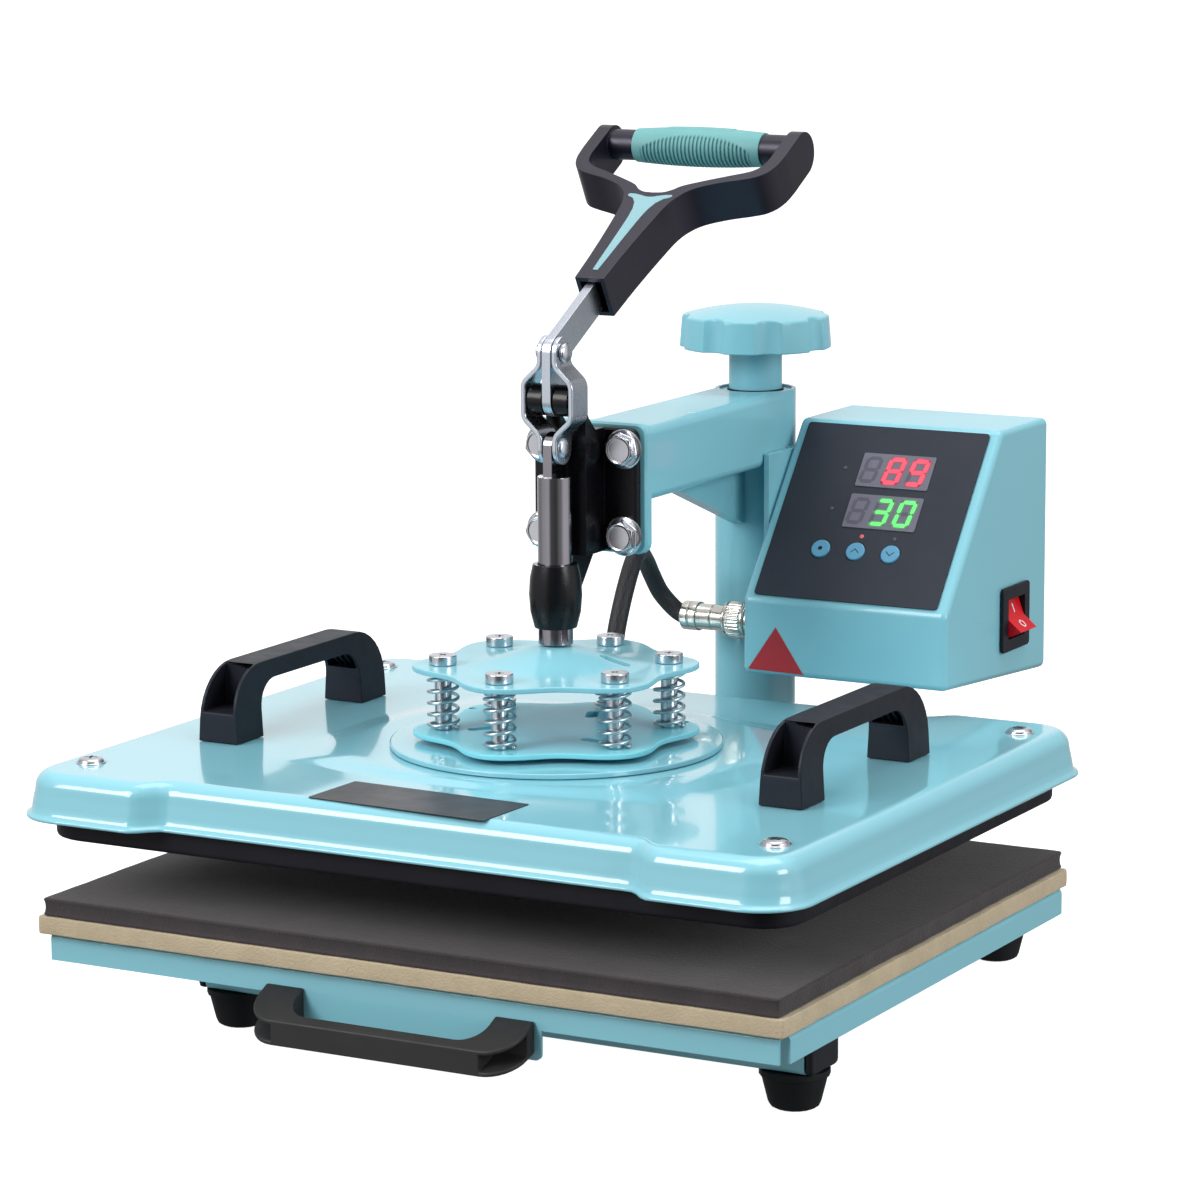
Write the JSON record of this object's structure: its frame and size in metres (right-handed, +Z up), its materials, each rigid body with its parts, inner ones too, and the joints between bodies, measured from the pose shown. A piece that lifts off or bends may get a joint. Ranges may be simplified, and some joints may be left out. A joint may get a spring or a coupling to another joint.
{
  "type": "combo heat press",
  "caption": "Swing-away flat heat press with toggle clamp head, spring-floated platen, slide-out lower tray, height knob and control box.",
  "frame": {"origin": "middle of the footprint, on the surface the feet stand on", "axes": "+Z up, +X to the operator's right, -Y towards the operator"},
  "size_m": [0.396, 0.4254, 0.414],
  "materials": {
    "teal_paint": "glossy powder coat",
    "foot_rubber": "matt moulded",
    "black_plastic": "fine grain",
    "black_casting": "satin black paint",
    "zinc_steel": "bright zinc plate",
    "board": "raw pressed board",
    "foam": "closed cell sponge",
    "grip_sleeve": "soft ribbed rubber",
    "platen": "black non-stick coat",
    "panel": "satin film",
    "buttons": "satin",
    "rocker": "gloss",
    "cable": "braided sleeve"
  },
  "bodies": {
    "base": {"front_crossbar": "teal_paint", "rear_crossbar": "teal_paint", "base_rail_left": "teal_paint", "base_rail_right": "teal_paint", "inner_post": "zinc_steel", "foot_front_left": "foot_rubber", "foot_front_right": "foot_rubber", "foot_rear_left": "foot_rubber", "foot_rear_right": "foot_rubber", "end_cap_front_left": "black_plastic", "end_cap_front_right": "black_plastic", "end_cap_rear_left": "black_plastic", "end_cap_rear_right": "black_plastic", "slide_channel_left": "zinc_steel", "slide_channel_right": "zinc_steel"},
    "drawer": {"drawer_tray": "teal_paint", "backing_board": "board", "foam_pad": "foam", "drawer_pull": "black_plastic"},
    "carriage": {"thrust_collar": "zinc_steel"},
    "knob": {"pressure_knob": "teal_paint"},
    "arm": {"column_tube": "teal_paint", "arm_beam": "teal_paint", "arm_end_plate": "teal_paint", "clamp_bracket": "black_casting", "hex_bolt_upper_left": "zinc_steel", "hex_bolt_upper_right": "zinc_steel", "hex_bolt_lower_left": "zinc_steel", "hex_bolt_lower_right": "zinc_steel", "control_box": "teal_paint", "box_back": "teal_paint", "control_panel": "panel", "switch_bezel": "black_plastic", "cable_connector": "zinc_steel", "heater_cable": "cable", "pivot_pin": "zinc_steel"},
    "lever": {"lever_bar": "zinc_steel", "handle_frame": "black_plastic", "grip_sleeve": "grip_sleeve", "link_rivet": "zinc_steel"},
    "links": {"link_plate_left": "zinc_steel", "link_plate_right": "zinc_steel"},
    "plunger": {"plunger_rod": "zinc_steel", "upper_flange_plate": "teal_paint"},
    "head": {"lower_flange_plate": "teal_paint", "flange_disc": "teal_paint", "cover": "teal_paint", "heat_platen": "platen", "side_handle_left": "black_plastic", "side_handle_right": "black_plastic", "spring_1": "zinc_steel", "spring_2": "zinc_steel", "spring_3": "zinc_steel", "spring_4": "zinc_steel", "spring_5": "zinc_steel", "spring_6": "zinc_steel"},
    "rocker": {"switch_rocker": "rocker"},
    "set_key": {"button_set": "buttons"},
    "up_key": {"button_up": "buttons"},
    "down_key": {"button_down": "buttons"}
  },
  "joints": [
    {"name": "drawer_slide", "type": "slide", "parent": "base", "child": "drawer", "axis": [0, -1, 0], "range_m": [0, 0.17]},
    {"name": "height_slide", "type": "slide", "parent": "base", "child": "carriage", "axis": [0, 0, 1], "range_m": [0, 0.012]},
    {"name": "knob_turn", "type": "hinge", "parent": "carriage", "child": "knob", "pos_m": [0, 0.15407, 0.305], "axis": [0, 0, 1], "range_deg": [0, 1440]},
    {"name": "arm_swing", "type": "hinge", "parent": "carriage", "child": "arm", "pos_m": [0, 0.15407, 0.2], "axis": [0, 0, 1], "range_deg": [-180, 180]},
    {"name": "head_drop", "type": "slide", "parent": "arm", "child": "head", "axis": [0, 0, -1], "range_m": [0, 0.0274]},
    {"name": "plunger_slide", "type": "slide", "parent": "arm", "child": "plunger", "axis": [0, 0, -1], "range_m": [0, 0.044], "deforming": ["spring_1", "spring_2", "spring_3", "spring_4", "spring_5", "spring_6"]},
    {"name": "lever_turn", "type": "hinge", "parent": "arm", "child": "lever", "pos_m": [0, -0.04843, 0.3005], "axis": [1, 0, 0], "range_deg": [0, 180]},
    {"name": "link_swing", "type": "hinge", "parent": "lever", "child": "links", "pos_m": [0, -0.04843, 0.3225], "axis": [1, 0, 0], "range_deg": [-180, 0]},
    {"name": "rocker_tilt", "type": "hinge", "parent": "arm", "child": "rocker", "pos_m": [0.13225, 0.17137, 0.1754], "axis": [0, 1, 0], "range_deg": [0, 24]},
    {"name": "set_press", "type": "slide", "parent": "arm", "child": "set_key", "axis": [0, 0.782, -0.6233], "range_m": [0, 0.0006], "stiffness_N_per_m": 400, "springref_m": -0.0003},
    {"name": "up_press", "type": "slide", "parent": "arm", "child": "up_key", "axis": [0, 0.782, -0.6233], "range_m": [0, 0.0006], "stiffness_N_per_m": 400, "springref_m": -0.0003},
    {"name": "down_press", "type": "slide", "parent": "arm", "child": "down_key", "axis": [0, 0.782, -0.6233], "range_m": [0, 0.0006], "stiffness_N_per_m": 400, "springref_m": -0.0003}
  ],
  "couplings": [
    {"joint": "knob_turn", "follows": "height_slide", "rad_per_m": 2094.4},
    {"joint": "plunger_slide", "follows": "head_drop", "ratio": 1.6058},
    {"joint": "lever_turn", "follows": "head_drop", "rad_per_m": 114.65},
    {"joint": "link_swing", "follows": "head_drop", "rad_per_m": -114.65}
  ]
}
